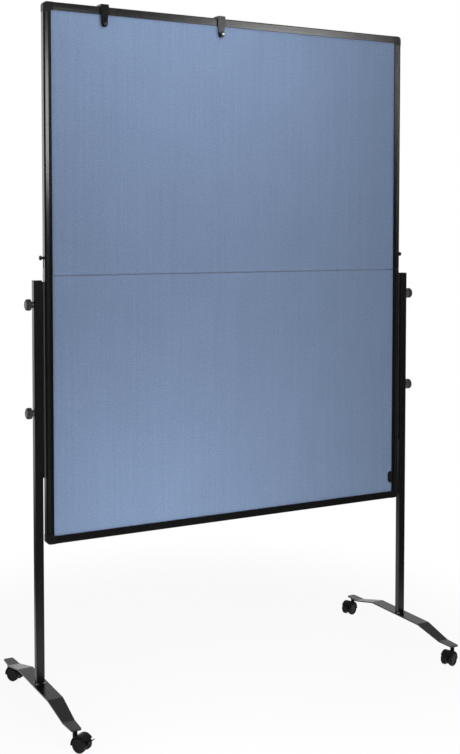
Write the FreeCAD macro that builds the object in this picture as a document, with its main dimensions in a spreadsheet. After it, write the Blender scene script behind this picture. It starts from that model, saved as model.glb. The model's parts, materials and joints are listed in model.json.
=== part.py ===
import FreeCAD, Part
import os
import Sketcher
from FreeCAD import Placement, Rotation, Vector

# A mobile pinboard whose upper half folds down behind the lower half, on two legs with castors.
# X runs along the board, Y runs from the front face to the back, Z is up.
# The origin is on the floor, midway between the legs, in the plane of the frame's front face.

doc = FreeCAD.newDocument("mobile_pinboard")

# Driving dimensions in millimetres, with angles in degrees
SIZES = {
    # board and its frame section
    "board_width": 1200,
    "board_height": 1500,
    "board_bottom_height": 470,
    "frame_face": 22,
    "frame_depth": 22,
    "frame_wall": 1.6,
    "chamber_width": 7,
    "lip_thickness": 4.5,
    "lip_slope": 0.5,
    "frame_round": 3,
    "rib_groove_width": 1,
    "rib_groove_depth": 0.6,
    "rib_groove_inset": 3.4,
    "rib_groove_pitch": 9.6,
    # panel
    "felt_thickness": 2.4,
    "panel_face_gap": 0.1,
    "panel_edge_gap": 0.2,
    "fold_gap": 0.5,
    "fold_edge_thickness": 1.5,
    # corner caps
    "corner_arm": 28,
    "corner_radius": 12,
    "corner_inner_radius": 3,
    "corner_rim_radius": 1.2,
    "corner_proud": 0.2,
    "key_length": 30,
    "key_gap": 0.2,
    # fold hinges
    "hinge_leaf_width": 18,
    "hinge_leaf_height": 34,
    "hinge_leaf_thickness": 2,
    "hinge_axis_offset": 3,
    "hinge_pin_radius": 1.4,
    "hinge_knuckle_radius": 2.7,
    "hinge_knuckle_gap": 0.2,
    "hinge_plate_gap": 0.5,
    "hinge_rivet_radius": 2.2,
    "hinge_rivet_height": 0.6,
    "running_gap": 0.05,
    # height rails on the lower stiles
    "rail_height": 7.8,
    "rail_width": 12,
    "rail_wall": 1.4,
    "rail_slot": 6.6,
    "rail_length": 545,
    "rail_top_drop": 16,
    "rail_screw_radius": 3.2,
    "rail_screw_height": 1.6,
    # legs
    "leg_gap": 8,
    "leg_width": 24,
    "leg_depth": 20,
    "leg_wall": 1.5,
    "leg_round": 2.5,
    "leg_top_drop": 12,
    "leg_cap_thickness": 3,
    "leg_cap_plug": 14,
    "leg_cap_gap": 0.2,
    # clamp knobs and their nuts
    "knob_drop": 67,
    "knob_spacing": 300,
    "knob_radius": 16,
    "knob_head_length": 14.4,
    "knob_dome": 6,
    "knob_back_round": 2,
    "knob_neck_radius": 9.6,
    "knob_foot_radius": 8.2,
    "knob_neck_length": 6.6,
    "knob_bore_radius": 6,
    "knob_ring_length": 1.4,
    "knob_slot_width": 4.4,
    "knob_slots": 3,
    "knob_seat_gap": 0.3,
    "knob_flute_radius": 5,
    "knob_flute_centre": 19.4,
    "knob_flutes": 7,
    "stud_radius": 3,
    "stud_hole_gap": 0.3,
    "stud_grip": 8,
    "nut_length": 18,
    "nut_width": 8.8,
    "nut_thickness": 2.6,
    "nut_seat_gap": 0.3,
    # fold locks
    "lock_height": 49.5,
    "lock_travel": 25,
    "lock_bolt_length": 60,
    "lock_bolt_depth": 12,
    "lock_gap": 0.2,
    "lock_stem_radius": 2.5,
    "lock_neck_radius": 4.4,
    "lock_head_radius": 6.5,
    "lock_head_length": 6,
    "lock_head_round": 2.8,
    "lock_reach": 12.8,
    # sliding hooks
    "left_hook_inset": 178,
    "right_hook_inset": 546,
    "hook_width": 24.5,
    "hook_top": 7.2,
    "hook_plate": 3.7,
    "hook_gap": 0.3,
    "hook_front_drop": 22.5,
    "hook_rear_drop": 15,
    "hook_round": 2.4,
    "tongue_length": 33,
    "tongue_top_width": 21,
    "tongue_waist_width": 18.5,
    "tongue_tip_width": 16.5,
    "tongue_thickness": 3,
    "tongue_step": 1.2,
    "tongue_round": 6,
    "peg_radius": 6.5,
    "peg_length": 12,
    "peg_rise": 9,
    "peg_round": 3,
    # small tab beside the lower right stile
    "tab_width": 14.5,
    "tab_height": 36,
    "tab_rise": 52,
    "tab_chamfer": 5,
    "tab_proud": 0.8,
    "tab_gap": 0.2,
    # bent feet
    "foot_length": 580,
    "foot_thickness": 4,
    "foot_flat": 256,
    "foot_slope_run": 103,
    "foot_drop": 24,
    "foot_mid_width": 44,
    "foot_bend_width": 34,
    "foot_tip_width": 28,
    "foot_tip_radius": 5,
    "foot_bend_radius": 14,
    "foot_top_height": 81,
    # castors
    "castor_inset": 13,
    "castor_trail": 22,
    "left_swivel": -57,
    "right_swivel": 203,
    "wheel_radius": 20,
    "wheel_width": 12,
    "wheel_inset": 7,
    "wheel_edge": 2.5,
    "wheel_rim": 4,
    "wheel_dish": 1.2,
    "wheel_bore_depth": 10,
    "axle_radius": 3,
    "axle_end_gap": 0.4,
    "hood_radius": 25,
    "hood_wall": 3,
    "hood_width": 36,
    "hood_round": 2.2,
    "hood_front_angle": 188,
    "hood_rear_angle": 34,
    "web_thickness": 12,
    "web_radius": 23,
    "hub_radius": 16.4,
    "neck_radius": 6.4,
    "neck_foot_height": 26,
    "neck_gap": 0.3,
    "collar_radius": 7.4,
    "collar_height": 2.7,
    "stem_radius": 4,
    "stem_depth": 16,
    "stem_bite": 2.5,
    # brake levers
    "lever_angle": 20,
    "lever_pivot_radius": 21,
    "lever_knuckle_radius": 3.4,
    "lever_knuckle_width": 11,
    "lever_mouth": 60,
    "lever_length": 17,
    "lever_width": 16,
    "lever_thickness": 2.4,
    "lever_tilt": 32,
    # one overrun serves every cut
    "overrun": 2,
}

# Places and sizes that follow from the driving dimensions
PLACES = {
    "half_width": "dim.board_width / 2",
    "fold_z": "dim.board_bottom_height + dim.board_height / 2",
    "top_z": "dim.board_bottom_height + dim.board_height",
    "mid_y": "dim.frame_depth / 2",
    "web_inset": "2 * dim.frame_wall + dim.chamber_width",
    "panel_inset": "web_inset + dim.panel_edge_gap",
    "panel_half": "half_width - panel_inset",
    "felt_front_y": "dim.lip_thickness + dim.panel_face_gap",
    "felt_rear_y": "dim.frame_depth - felt_front_y",
    "core_front_y": "felt_front_y + dim.felt_thickness",
    "core_depth": "dim.frame_depth - 2 * core_front_y",
    "edge_z": "fold_z + dim.fold_gap / 2",
    "panel_z": "edge_z + dim.fold_edge_thickness",
    "panel_height": "top_z - panel_inset - panel_z",
    "felt_height": "top_z - panel_inset - edge_z",
    "stile_length": "top_z - dim.corner_arm - edge_z",
    "rail_run": "dim.board_width - 2 * dim.corner_arm",
    "hinge_y": "dim.frame_depth + dim.hinge_axis_offset",
    "hinge_x": "half_width - dim.frame_face / 2",
    "hinge_clear": "dim.hinge_knuckle_radius + dim.hinge_plate_gap",
    "hinge_bore": "dim.hinge_pin_radius + dim.running_gap",
    "leg_inner_x": "half_width + dim.leg_gap",
    "leg_x": "leg_inner_x + dim.leg_width / 2",
    "leg_outer_x": "leg_inner_x + dim.leg_width",
    "leg_front_y": "mid_y - dim.leg_depth / 2",
    "leg_tube_top": "fold_z - dim.leg_top_drop - dim.leg_cap_thickness",
    "leg_tube_length": "leg_tube_top - dim.foot_top_height",
    "rail_top_z": "fold_z - dim.rail_top_drop",
    "rail_bottom_z": "rail_top_z - dim.rail_length",
    "rail_outer_x": "half_width + dim.rail_height",
    "nut_outer_x": "rail_outer_x - dim.rail_wall - dim.nut_seat_gap",
    "nut_inner_x": "nut_outer_x - dim.nut_thickness",
    "upper_knob_z": "fold_z - dim.leg_top_drop - dim.knob_drop",
    "lower_knob_z": "upper_knob_z - dim.knob_spacing",
    "knob_seat_x": "leg_outer_x + dim.knob_seat_gap",
    "stud_length": "knob_seat_x + dim.knob_neck_length + dim.stud_grip - nut_inner_x",
    "lock_z": "fold_z + dim.lock_height",
    "lock_outer_x": "half_width - dim.frame_wall - dim.lock_gap",
    "lock_bolt_width": "dim.chamber_width - 2 * dim.lock_gap",
    "lock_bolt_z": "edge_z + dim.lock_gap",
    "lock_slot_half": "dim.lock_stem_radius + dim.lock_gap",
    "lock_head_x": "half_width + dim.lock_reach - dim.lock_head_length",
    "left_hook_x": "dim.left_hook_inset - half_width",
    "right_hook_x": "dim.right_hook_inset - half_width",
    "hook_front_y": "-dim.hook_gap - dim.hook_plate",
    "tongue_front_y": "hook_front_y + dim.tongue_step",
    "foot_half": "dim.foot_length / 2",
    "foot_bend_y": "dim.foot_flat / 2 + dim.foot_slope_run",
    "foot_end_top": "dim.foot_top_height - dim.foot_drop",
    "foot_end_under": "foot_end_top - dim.foot_thickness",
    "stem_reach": "foot_half - dim.castor_inset",
    "neck_top": "foot_end_under - dim.collar_height - dim.neck_gap",
    "stem_bore": "dim.stem_radius + dim.running_gap",
    "wheel_bore": "dim.axle_radius + dim.running_gap",
    "hood_inner": "dim.hood_radius - dim.hood_wall",
    "hood_sweep": "dim.hood_front_angle - dim.hood_rear_angle",
    "axle_length": "2 * (dim.wheel_inset + dim.wheel_bore_depth - dim.axle_end_gap)",
    "lever_socket": "dim.lever_knuckle_radius + dim.running_gap",
}


def fill_sheet(name, rows, lead):
    """Make a sheet with one aliased cell per row; formulas start with the lead sign."""
    made = doc.addObject("Spreadsheet::Sheet", name)
    for line, (alias, content) in enumerate(rows.items(), start=1):
        made.set(f"A{line}", alias)
        made.set(f"B{line}", lead + str(content))
        made.setAlias(f"B{line}", alias)
    doc.recompute()
    return made


dim = fill_sheet("dim", SIZES, "")
place = fill_sheet("place", PLACES, "=")
nodes = []


def value(text):
    """The present value of an expression on the two sheets."""
    return float(dim.evalExpression(text))


def node(made, label):
    """Enter a finished sub-part under the name of its file."""
    made.Label = label
    nodes.append(made)
    return made


# Small building helpers, each bound to the sheets by expressions
def bind(made, **texts):
    for prop, text in texts.items():
        made.setExpression(prop, text)
    return made


def move(made, x, y, z):
    for axis, text in zip("xyz", (x, y, z)):
        made.setExpression(f"Placement.Base.{axis}", text)
    return made


def box(name, corner, sides):
    made = doc.addObject("Part::Box", name)
    bind(made, Length=sides[0], Width=sides[1], Height=sides[2])
    return move(made, *corner)


TURNS = {
    "X": Rotation(Vector(0, 1, 0), 90),
    "Y": Rotation(Vector(1, 0, 0), -90),
    "Z": Rotation(),
}


def cylinder(name, radius, length, start, axis="Z"):
    made = doc.addObject("Part::Cylinder", name)
    bind(made, Radius=radius, Height=length)
    made.Placement.Rotation = TURNS[axis]
    return move(made, *start)


def fuse(name, *shapes):
    made = doc.addObject("Part::MultiFuse", name)
    made.Shapes = list(shapes)
    made.Refine = True
    return made


def cut(name, base, *tools):
    made = doc.addObject("Part::Cut", name)
    made.Base = base
    made.Tool = tools[0] if len(tools) == 1 else fuse(name + "_tools", *tools)
    return made


def group(name, *shapes):
    made = doc.addObject("Part::Compound", name)
    made.Links = list(shapes)
    return made


def mirror_x(name, source):
    """The same piece on the other side of the board."""
    made = doc.addObject("Part::Mirroring", name)
    made.Source = source
    made.Normal = Vector(1, 0, 0)
    return made


def mirror_z(name, source):
    """The same piece on the other side of the fold."""
    made = doc.addObject("Part::Mirroring", name)
    made.Source = source
    made.Normal = Vector(0, 0, 1)
    made.setExpression("Base.z", "place.fold_z")
    return made


def new_sketch(body, role, offset="0"):
    """A sketch on one of the body's own origin planes, moved along the plane's normal."""
    base = next(f for f in body.Origin.OriginFeatures if f.Role == role)
    made = body.newObject("Sketcher::SketchObject", body.Name + "_sketch")
    made.AttachmentSupport = [(base, "")]
    made.MapMode = "FlatFace"
    made.setExpression("AttachmentOffset.Base.z", offset)
    return made


def fix_point(sketch, geometry, end, x, y):
    """Tie one point of a sketch to its two expressions."""
    for kind, text, axis in (("DistanceX", x, -2), ("DistanceY", y, -1)):
        if text == "0":
            sketch.addConstraint(Sketcher.Constraint("PointOnObject", geometry, end, axis))
        else:
            tie = sketch.addConstraint(Sketcher.Constraint(kind, -1, 1, geometry, end, value(text)))
            sketch.setExpression(f"Constraints[{tie}]", text)


def outline(sketch, points):
    """A closed straight-sided outline through points given as pairs of expressions."""
    first = sketch.GeometryCount
    count = len(points)
    spots = [Vector(value(x), value(y), 0) for x, y in points]
    for k in range(count):
        sketch.addGeometry(Part.LineSegment(spots[k], spots[(k + 1) % count]))
    for k in range(count):
        after = first + (k + 1) % count
        sketch.addConstraint(Sketcher.Constraint("Coincident", first + k, 2, after, 1))
    for k, (x, y) in enumerate(points):
        fix_point(sketch, first + k, 1, x, y)


def disc(sketch, x, y, radius):
    """A circle in a sketch, with its centre and radius tied to expressions."""
    made = sketch.addGeometry(Part.Circle(Vector(value(x), value(y), 0), Vector(0, 0, 1), value(radius)))
    fix_point(sketch, made, 3, x, y)
    tie = sketch.addConstraint(Sketcher.Constraint("Radius", made, value(radius)))
    sketch.setExpression(f"Constraints[{tie}]", radius)


def rectangle(x0, y0, x1, y1):
    return [(x0, y0), (x1, y0), (x1, y1), (x0, y1)]


def pad(body, sketch, length):
    made = body.newObject("PartDesign::Pad", body.Name + "_pad")
    made.Profile = sketch
    made.setExpression("Length", length)
    return made


def round_edges(body, feature, radius, chosen):
    """Fillet the edges of a feature that the chooser picks."""
    doc.recompute()
    names = [f"Edge{k}" for k, edge in enumerate(feature.Shape.Edges, start=1) if chosen(edge)]
    made = body.newObject("PartDesign::Fillet", body.Name + "_round")
    made.Base = (feature, names)
    made.setExpression("Radius", radius)
    return made


SAME_PLACE = 1e-4
RIGHT = Vector(1, 0, 0)
BACK = Vector(0, 1, 0)
UP = Vector(0, 0, 1)


def standing_at(places):
    """A test of whether a point lies, along each axis named, at one of the places given."""
    spots = {name: [value(text) for text in texts] for name, texts in places.items()}

    def test(point):
        return all(
            any(abs(getattr(point, name) - spot) < SAME_PLACE for spot in found)
            for name, found in spots.items()
        )

    return test


def straight(*axes, **places):
    """A chooser of straight edges along any of the axes whose middles lie at the places named."""
    standing = standing_at(places)

    def chosen(edge):
        if edge.Curve.TypeId != "Part::GeomLine":
            return False
        along = any(edge.Curve.Direction.cross(axis).Length < SAME_PLACE for axis in axes)
        return along and standing(edge.CenterOfMass)

    return chosen


def ring(radius, **places):
    """A chooser of round edges of one radius whose centres lie at the places named."""
    size = value(radius)
    standing = standing_at(places)

    def chosen(edge):
        if edge.Curve.TypeId != "Part::GeomCircle" or abs(edge.Curve.Radius - size) > SAME_PLACE:
            return False
        return standing(edge.Curve.Center)

    return chosen


# Frame section, as pairs of inset from the outer edge and depth from the front face
def groove(inset, face, floor):
    """A fine groove that runs along the face of the frame."""
    far = f"{inset} + dim.rib_groove_width"
    return [(inset, face), (inset, floor), (far, floor), (far, face)]


def frame_outline():
    near = "dim.rib_groove_inset"
    far = "dim.rib_groove_inset + dim.rib_groove_pitch"
    rear = "dim.frame_depth"
    rear_floor = "dim.frame_depth - dim.rib_groove_depth"
    front_floor = "dim.rib_groove_depth"
    channel = [
        ("dim.frame_face", "dim.lip_slope"),
        ("dim.frame_face", "dim.lip_thickness"),
        ("place.web_inset", "dim.lip_thickness"),
        ("place.web_inset", "dim.frame_depth - dim.lip_thickness"),
        ("dim.frame_face", "dim.frame_depth - dim.lip_thickness"),
        ("dim.frame_face", "dim.frame_depth - dim.lip_slope"),
    ]
    front = groove(near, "0", front_floor) + groove(far, "0", front_floor)
    back = groove(near, rear, rear_floor) + groove(far, rear, rear_floor)
    return [("0", "0")] + front + channel + back[::-1] + [("0", rear)]


def chamber_outline():
    return rectangle(
        "dim.frame_wall",
        "dim.frame_wall",
        "dim.frame_wall + dim.chamber_width",
        "dim.frame_depth - dim.frame_wall",
    )


def stile_body(name, bottom):
    """A right stile: the frame section carried upwards from the given height."""
    body = doc.addObject("PartDesign::Body", name)
    sketch = new_sketch(body, "XY_Plane", bottom)
    for loop in (frame_outline(), chamber_outline()):
        outline(sketch, [(f"place.half_width - ({u})", v) for u, v in loop])
    raised = pad(body, sketch, "place.stile_length")
    round_edges(body, raised, "dim.frame_round", straight(UP, x=["place.half_width"]))
    return body


# Upper stiles, with the slot that the lock's stem slides in
lock_slot = box(
    "lock_slot",
    (
        "place.half_width - dim.frame_wall - dim.overrun",
        "place.mid_y - place.lock_slot_half",
        "place.lock_z - dim.lock_travel - place.lock_slot_half",
    ),
    (
        "dim.frame_wall + 2 * dim.overrun",
        "2 * place.lock_slot_half",
        "dim.lock_travel + 2 * place.lock_slot_half",
    ),
)
upper_stile = cut("upper_right_stile", stile_body("upper_stile_bar", "place.edge_z"), lock_slot)
node(upper_stile, "upper_right_stile")
node(mirror_x("upper_left_stile", upper_stile), "upper_left_stile")

# Lower stiles
lower_stile = stile_body("lower_right_stile", "place.fold_z - dim.fold_gap / 2 - place.stile_length")
node(lower_stile, "lower_right_stile")
node(mirror_x("lower_left_stile", lower_stile), "lower_left_stile")

# Top and bottom rails
top_rail = doc.addObject("PartDesign::Body", "top_rail")
rail_sketch = new_sketch(top_rail, "YZ_Plane", "-place.rail_run / 2")
for loop in (frame_outline(), chamber_outline()):
    outline(rail_sketch, [(v, f"place.top_z - ({u})") for u, v in loop])
rail_pad = pad(top_rail, rail_sketch, "place.rail_run")
round_edges(top_rail, rail_pad, "dim.frame_round", straight(RIGHT, z=["place.top_z"]))
node(top_rail, "top_rail")
node(mirror_z("bottom_rail", top_rail), "bottom_rail")


# Corner caps: a rounded moulding with a seat for the panel and a key into each hollow bar
def corner_cap():
    body = doc.addObject("PartDesign::Body", "corner_moulding")
    sketch = new_sketch(body, "XZ_Plane", "-dim.frame_depth - dim.corner_proud")
    arm_x = "place.half_width - dim.corner_arm"
    arm_z = "place.top_z - dim.corner_arm"
    face_x = "place.half_width - dim.frame_face"
    face_z = "place.top_z - dim.frame_face"
    edge_x = "place.half_width + dim.corner_proud"
    edge_z = "place.top_z + dim.corner_proud"
    outline(
        sketch,
        [
            (arm_x, face_z),
            (face_x, face_z),
            (face_x, arm_z),
            (edge_x, arm_z),
            (edge_x, edge_z),
            (arm_x, edge_z),
        ],
    )
    block = pad(body, sketch, "dim.frame_depth + 2 * dim.corner_proud")
    turned = round_edges(body, block, "dim.corner_radius", straight(BACK, x=[edge_x], z=[edge_z]))
    turned = round_edges(body, turned, "dim.corner_inner_radius", straight(BACK, x=[face_x], z=[face_z]))
    round_edges(body, turned, "dim.corner_rim_radius", ring("dim.corner_radius"))
    seat = box(
        "corner_seat",
        (
            f"{arm_x} - dim.overrun",
            "dim.lip_thickness",
            f"{arm_z} - dim.overrun",
        ),
        (
            "dim.corner_arm - place.web_inset + dim.overrun",
            "dim.frame_depth - 2 * dim.lip_thickness",
            "dim.corner_arm - place.web_inset + dim.overrun",
        ),
    )
    key_width = "dim.chamber_width - 2 * dim.key_gap"
    key_depth = "dim.frame_depth - 2 * dim.frame_wall - 2 * dim.key_gap"
    key_y = "dim.frame_wall + dim.key_gap"
    key_inset = "dim.frame_wall + dim.chamber_width - dim.key_gap"
    rail_key = box(
        "rail_key",
        (f"{arm_x} - dim.key_length", key_y, f"place.top_z - ({key_inset})"),
        ("dim.key_length + dim.overrun", key_depth, key_width),
    )
    stile_key = box(
        "stile_key",
        (f"place.half_width - ({key_inset})", key_y, f"{arm_z} - dim.key_length"),
        (key_width, key_depth, "dim.key_length + dim.overrun"),
    )
    return fuse("top_right_corner", cut("corner_shell", body, seat), rail_key, stile_key)


corner = node(corner_cap(), "top_right_corner")
node(mirror_x("top_left_corner", corner), "top_left_corner")
low_corner = node(mirror_z("bottom_right_corner", corner), "bottom_right_corner")
node(mirror_x("bottom_left_corner", low_corner), "bottom_left_corner")

# Panels: a stiff core with a slim edge band along the fold, between two felt faces that cover both
rear_felt_y = "place.felt_rear_y - dim.felt_thickness"
PANEL_LAYERS = {
    "core": ("place.core_front_y", "place.core_depth", "place.panel_z", "place.panel_height"),
    "felt_front": ("place.felt_front_y", "dim.felt_thickness", "place.edge_z", "place.felt_height"),
    "felt_rear": (rear_felt_y, "dim.felt_thickness", "place.edge_z", "place.felt_height"),
}
for layer, (layer_y, layer_depth, layer_z, layer_height) in PANEL_LAYERS.items():
    upper_layer = box(
        "upper_" + layer,
        ("-place.panel_half", layer_y, layer_z),
        ("2 * place.panel_half", layer_depth, layer_height),
    )
    node(upper_layer, "upper_" + layer)
    node(mirror_z("lower_" + layer, upper_layer), "lower_" + layer)
upper_edge = box(
    "upper_fold_edge",
    ("-place.panel_half", "place.core_front_y", "place.edge_z"),
    ("2 * place.panel_half", "place.core_depth", "dim.fold_edge_thickness"),
)
node(upper_edge, "upper_fold_edge")
node(mirror_z("lower_fold_edge", upper_edge), "lower_fold_edge")

# Fold hinges on the back of the stiles: three knuckles on one pin at each side
MIDDLE_KNUCKLE_SHARE = 0.44
RIVET_PLACE_SHARES = (0.4, 0.78)
middle_knuckle = f"dim.hinge_leaf_width * {MIDDLE_KNUCKLE_SHARE}"
outer_knuckle = f"(dim.hinge_leaf_width - {middle_knuckle}) / 2 - dim.hinge_knuckle_gap"
leaf_x = "place.hinge_x - dim.hinge_leaf_width / 2"
middle_x = f"place.hinge_x - {middle_knuckle} / 2"
hinge_axis = ("place.hinge_y", "place.fold_z")
pin_bore = cylinder(
    "hinge_pin_bore",
    "place.hinge_bore",
    "dim.hinge_leaf_width + 2 * dim.overrun",
    (f"{leaf_x} - dim.overrun",) + hinge_axis,
    "X",
)


def leaf_rivets(side, sign):
    """Rivet heads on a leaf, above or below the fold."""
    made = []
    for k, share in enumerate(RIVET_PLACE_SHARES):
        spot = f"place.fold_z {sign} dim.hinge_leaf_height * {share}"
        head_y = "dim.frame_depth + dim.hinge_leaf_thickness"
        start = ("place.hinge_x", head_y, spot)
        made.append(
            cylinder(f"{side}_rivet_{k}", "dim.hinge_rivet_radius", "dim.hinge_rivet_height", start, "Y")
        )
    return made


leaf_plate = box(
    "upper_leaf_plate",
    (leaf_x, "dim.frame_depth", "place.fold_z + place.hinge_clear"),
    ("dim.hinge_leaf_width", "dim.hinge_leaf_thickness", "dim.hinge_leaf_height - place.hinge_clear"),
)
leaf_root = box(
    "upper_leaf_root",
    (middle_x, "dim.frame_depth + dim.hinge_plate_gap", "place.fold_z"),
    (
        middle_knuckle,
        "dim.hinge_leaf_thickness - dim.hinge_plate_gap",
        "place.hinge_clear + dim.overrun",
    ),
)
leaf_knuckle = cylinder(
    "upper_leaf_knuckle",
    "dim.hinge_knuckle_radius",
    middle_knuckle,
    (middle_x,) + hinge_axis,
    "X",
)
upper_leaf = cut("upper_leaf", fuse("upper_leaf_solid", leaf_plate, leaf_root, leaf_knuckle), pin_bore)

low_plate = box(
    "lower_leaf_plate",
    (leaf_x, "dim.frame_depth", "place.fold_z - dim.hinge_leaf_height"),
    ("dim.hinge_leaf_width", "dim.hinge_leaf_thickness", "dim.hinge_leaf_height - place.hinge_clear"),
)
low_knuckles = []
for k, start_x in enumerate((leaf_x, f"{leaf_x} + dim.hinge_leaf_width - ({outer_knuckle})")):
    low_knuckles.append(
        cylinder(
            f"lower_leaf_knuckle_{k}",
            "dim.hinge_knuckle_radius",
            outer_knuckle,
            (start_x,) + hinge_axis,
            "X",
        )
    )
    low_knuckles.append(
        box(
            f"lower_leaf_root_{k}",
            (
                start_x,
                "dim.frame_depth + dim.hinge_plate_gap",
                "place.fold_z - place.hinge_clear - dim.overrun",
            ),
            (
                outer_knuckle,
                "dim.hinge_leaf_thickness - dim.hinge_plate_gap",
                "place.hinge_clear + dim.overrun",
            ),
        )
    )
lower_leaf = cut("lower_leaf", fuse("lower_leaf_solid", low_plate, *low_knuckles), pin_bore)

for half, leaf, sign in (("upper", upper_leaf, "+"), ("lower", lower_leaf, "-")):
    leaf_set = group(f"right_{half}_leaf_set", leaf, *leaf_rivets(half, sign))
    leaf_pair = group(f"{half}_hinge_leaves", leaf_set, mirror_x(f"left_{half}_leaf_set", leaf_set))
    node(leaf_pair, f"{half}_hinge_leaves")
pin = cylinder("right_hinge_pin", "dim.hinge_pin_radius", "dim.hinge_leaf_width", (leaf_x,) + hinge_axis, "X")
node(group("hinge_pins", pin, mirror_x("left_hinge_pin", pin)), "hinge_pins")

# Height rails: a lipped channel screwed to the outside of each lower stile
RAIL_SCREW_SHARES = (0.03, 0.5, 0.98)
rail_body = doc.addObject("PartDesign::Body", "rail_channel")
channel_sketch = new_sketch(rail_body, "XY_Plane", "place.rail_bottom_z")
rail_front = "place.mid_y - dim.rail_width / 2"
rail_back = "place.mid_y + dim.rail_width / 2"
slot_front = "place.mid_y - dim.rail_slot / 2"
slot_back = "place.mid_y + dim.rail_slot / 2"
lip_x = "place.rail_outer_x - dim.rail_wall"
floor_x = "place.half_width + dim.rail_wall"
outline(
    channel_sketch,
    [
        ("place.half_width", rail_front),
        ("place.rail_outer_x", rail_front),
        ("place.rail_outer_x", slot_front),
        (lip_x, slot_front),
        (lip_x, f"{rail_front} + dim.rail_wall"),
        (floor_x, f"{rail_front} + dim.rail_wall"),
        (floor_x, f"{rail_back} - dim.rail_wall"),
        (lip_x, f"{rail_back} - dim.rail_wall"),
        (lip_x, slot_back),
        ("place.rail_outer_x", slot_back),
        ("place.rail_outer_x", rail_back),
        ("place.half_width", rail_back),
    ],
)
pad(rail_body, channel_sketch, "dim.rail_length")
rail_screws = []
for k, share in enumerate(RAIL_SCREW_SHARES):
    screw_z = f"place.rail_top_z - dim.rail_length * {share}"
    start = (floor_x, "place.mid_y", screw_z)
    head = cylinder(f"rail_screw_{k}", "dim.rail_screw_radius", "dim.rail_screw_height", start, "X")
    rail_screws.append(head)
right_rail = node(group("right_height_rail", rail_body, *rail_screws), "right_height_rail")
node(mirror_x("left_height_rail", right_rail), "left_height_rail")

# Legs: a rectangular tube with a push-in cap
tube_body = doc.addObject("PartDesign::Body", "leg_tube_body")
tube_sketch = new_sketch(tube_body, "XY_Plane", "dim.foot_top_height")
tube_back = "place.leg_front_y + dim.leg_depth"
outline(tube_sketch, rectangle("place.leg_inner_x", "place.leg_front_y", "place.leg_outer_x", tube_back))
outline(
    tube_sketch,
    rectangle(
        "place.leg_inner_x + dim.leg_wall",
        "place.leg_front_y + dim.leg_wall",
        "place.leg_outer_x - dim.leg_wall",
        f"{tube_back} - dim.leg_wall",
    ),
)
tube_pad = pad(tube_body, tube_sketch, "place.leg_tube_length")
tube_corners = straight(UP, x=["place.leg_inner_x", "place.leg_outer_x"])
round_edges(tube_body, tube_pad, "dim.leg_round", tube_corners)
stud_holes = [
    cylinder(
        f"stud_hole_{k}",
        "dim.stud_radius + dim.stud_hole_gap",
        "dim.leg_width + 2 * dim.overrun",
        ("place.leg_inner_x - dim.overrun", "place.mid_y", spot),
        "X",
    )
    for k, spot in enumerate(("place.upper_knob_z", "place.lower_knob_z"))
]
right_tube = node(cut("right_leg_tube", tube_body, *stud_holes), "right_leg_tube")
node(mirror_x("left_leg_tube", right_tube), "left_leg_tube")

cap_body = doc.addObject("PartDesign::Body", "leg_cap_plate")
cap_sketch = new_sketch(cap_body, "XY_Plane", "place.leg_tube_top")
outline(cap_sketch, rectangle("place.leg_inner_x", "place.leg_front_y", "place.leg_outer_x", tube_back))
cap_pad = pad(cap_body, cap_sketch, "dim.leg_cap_thickness")
round_edges(cap_body, cap_pad, "dim.leg_round", tube_corners)
cap_step = "dim.leg_wall + dim.leg_cap_gap"
cap_plug = box(
    "leg_cap_plug_block",
    (
        f"place.leg_inner_x + {cap_step}",
        f"place.leg_front_y + {cap_step}",
        "place.leg_tube_top - dim.leg_cap_plug",
    ),
    (
        f"dim.leg_width - 2 * ({cap_step})",
        f"dim.leg_depth - 2 * ({cap_step})",
        "dim.leg_cap_plug + dim.leg_cap_thickness / 2",
    ),
)
right_cap = node(fuse("right_leg_cap", cap_body, cap_plug), "right_leg_cap")
node(mirror_x("left_leg_cap", right_cap), "left_leg_cap")

# Sliding nuts that the clamp knobs pull against the lips of the height rails
clamp_nuts = []
for k, spot in enumerate(("place.upper_knob_z", "place.lower_knob_z")):
    block = box(
        f"nut_block_{k}",
        ("place.nut_inner_x", "place.mid_y - dim.nut_width / 2", f"{spot} - dim.nut_length / 2"),
        ("dim.nut_thickness", "dim.nut_width", "dim.nut_length"),
    )
    thread = cylinder(
        f"nut_thread_{k}",
        "dim.stud_radius + dim.running_gap",
        "dim.nut_thickness + 2 * dim.overrun",
        ("place.nut_inner_x - dim.overrun", "place.mid_y", spot),
        "X",
    )
    clamp_nuts.append(cut(f"clamp_nut_{k}", block, thread))
right_nuts = node(group("right_clamp_nuts", *clamp_nuts), "right_clamp_nuts")
node(mirror_x("left_clamp_nuts", right_nuts), "left_clamp_nuts")


# Clamp knobs: a domed head with flutes, on a slotted hollow neck, moulded round a threaded stud
def cut_round(body, sketch, depth, profile, count):
    """Cut a sketch into a turned body and repeat the cut about the axis of its profile."""
    pocket = body.newObject("PartDesign::Pocket", body.Name + "_pocket")
    pocket.Profile = sketch
    pocket.setExpression("Length", depth)
    pattern = body.newObject("PartDesign::PolarPattern", body.Name + "_pattern")
    pattern.Originals = [pocket]
    pattern.Axis = (profile, ["H_Axis"])
    pattern.setExpression("Occurrences", count)
    body.Tip = pattern
    doc.recompute()


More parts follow.
